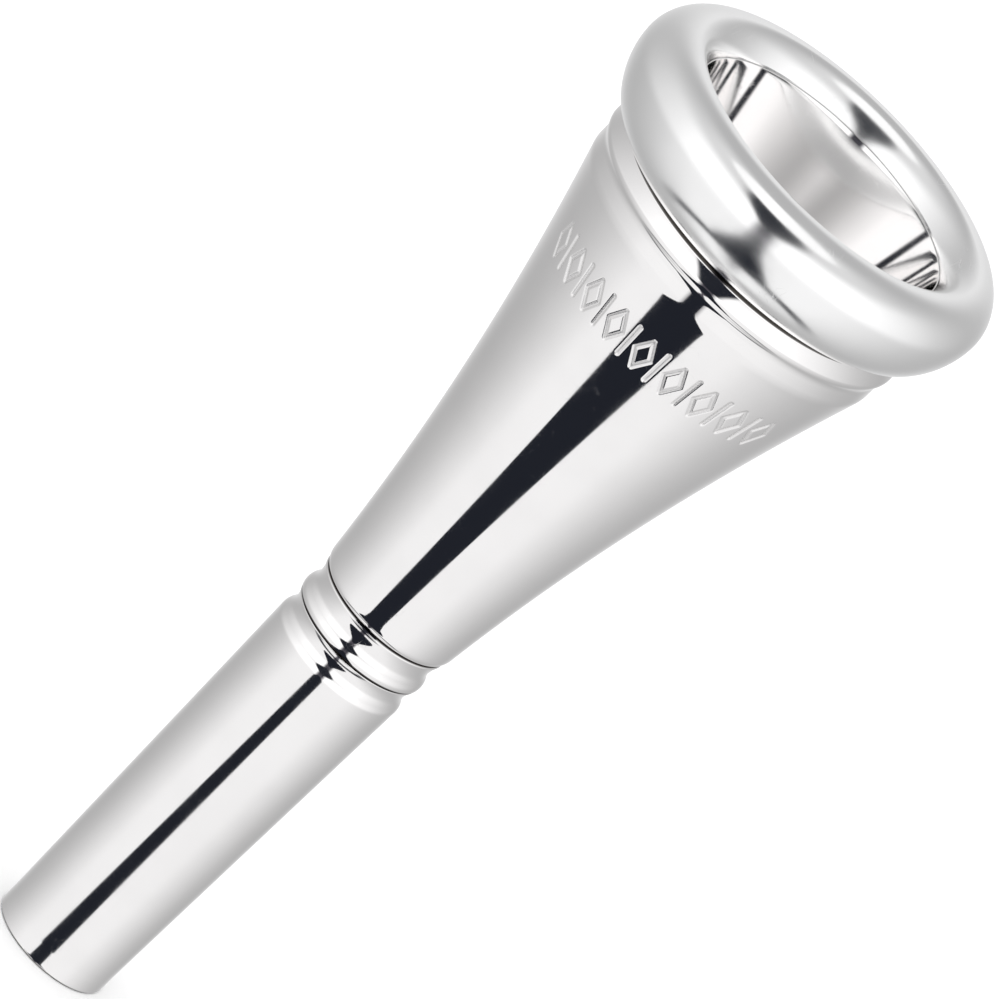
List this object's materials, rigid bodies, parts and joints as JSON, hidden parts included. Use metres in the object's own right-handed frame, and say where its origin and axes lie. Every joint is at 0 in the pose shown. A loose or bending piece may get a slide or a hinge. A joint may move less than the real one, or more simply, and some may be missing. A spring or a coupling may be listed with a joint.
{
  "type": "french horn mouthpiece",
  "caption": "Silver-plated brass horn mouthpiece: rounded rim, flared funnel cup, collar ring and tapered shank, screwed together.",
  "frame": {"origin": "centre of the shank's open end, where the receiver of the instrument takes it", "axes": "+Z along the bore, from the shank's open end to the rim; X and Y are across, and the piece is round"},
  "size_m": [0.025, 0.025, 0.0664],
  "materials": {
    "rim_plating": "silver plated brass, mirror polished",
    "cup_plating": "silver plated brass, mirror polished",
    "collar_plating": "silver plated brass, mirror polished",
    "shank_plating": "silver plated brass, mirror polished"
  },
  "bodies": {
    "shank": {"shank": "shank_plating", "collar_ring": "collar_plating"},
    "cup": {"cup": "cup_plating"},
    "rim": {"rim": "rim_plating"}
  },
  "joints": [
    {"name": "cup_lift", "type": "slide", "parent": "shank", "child": "cup", "axis": [0, 0, 1], "range_m": [0, 0.012]},
    {"name": "rim_lift", "type": "slide", "parent": "cup", "child": "rim", "axis": [0, 0, 1], "range_m": [0, 0.008]}
  ]
}
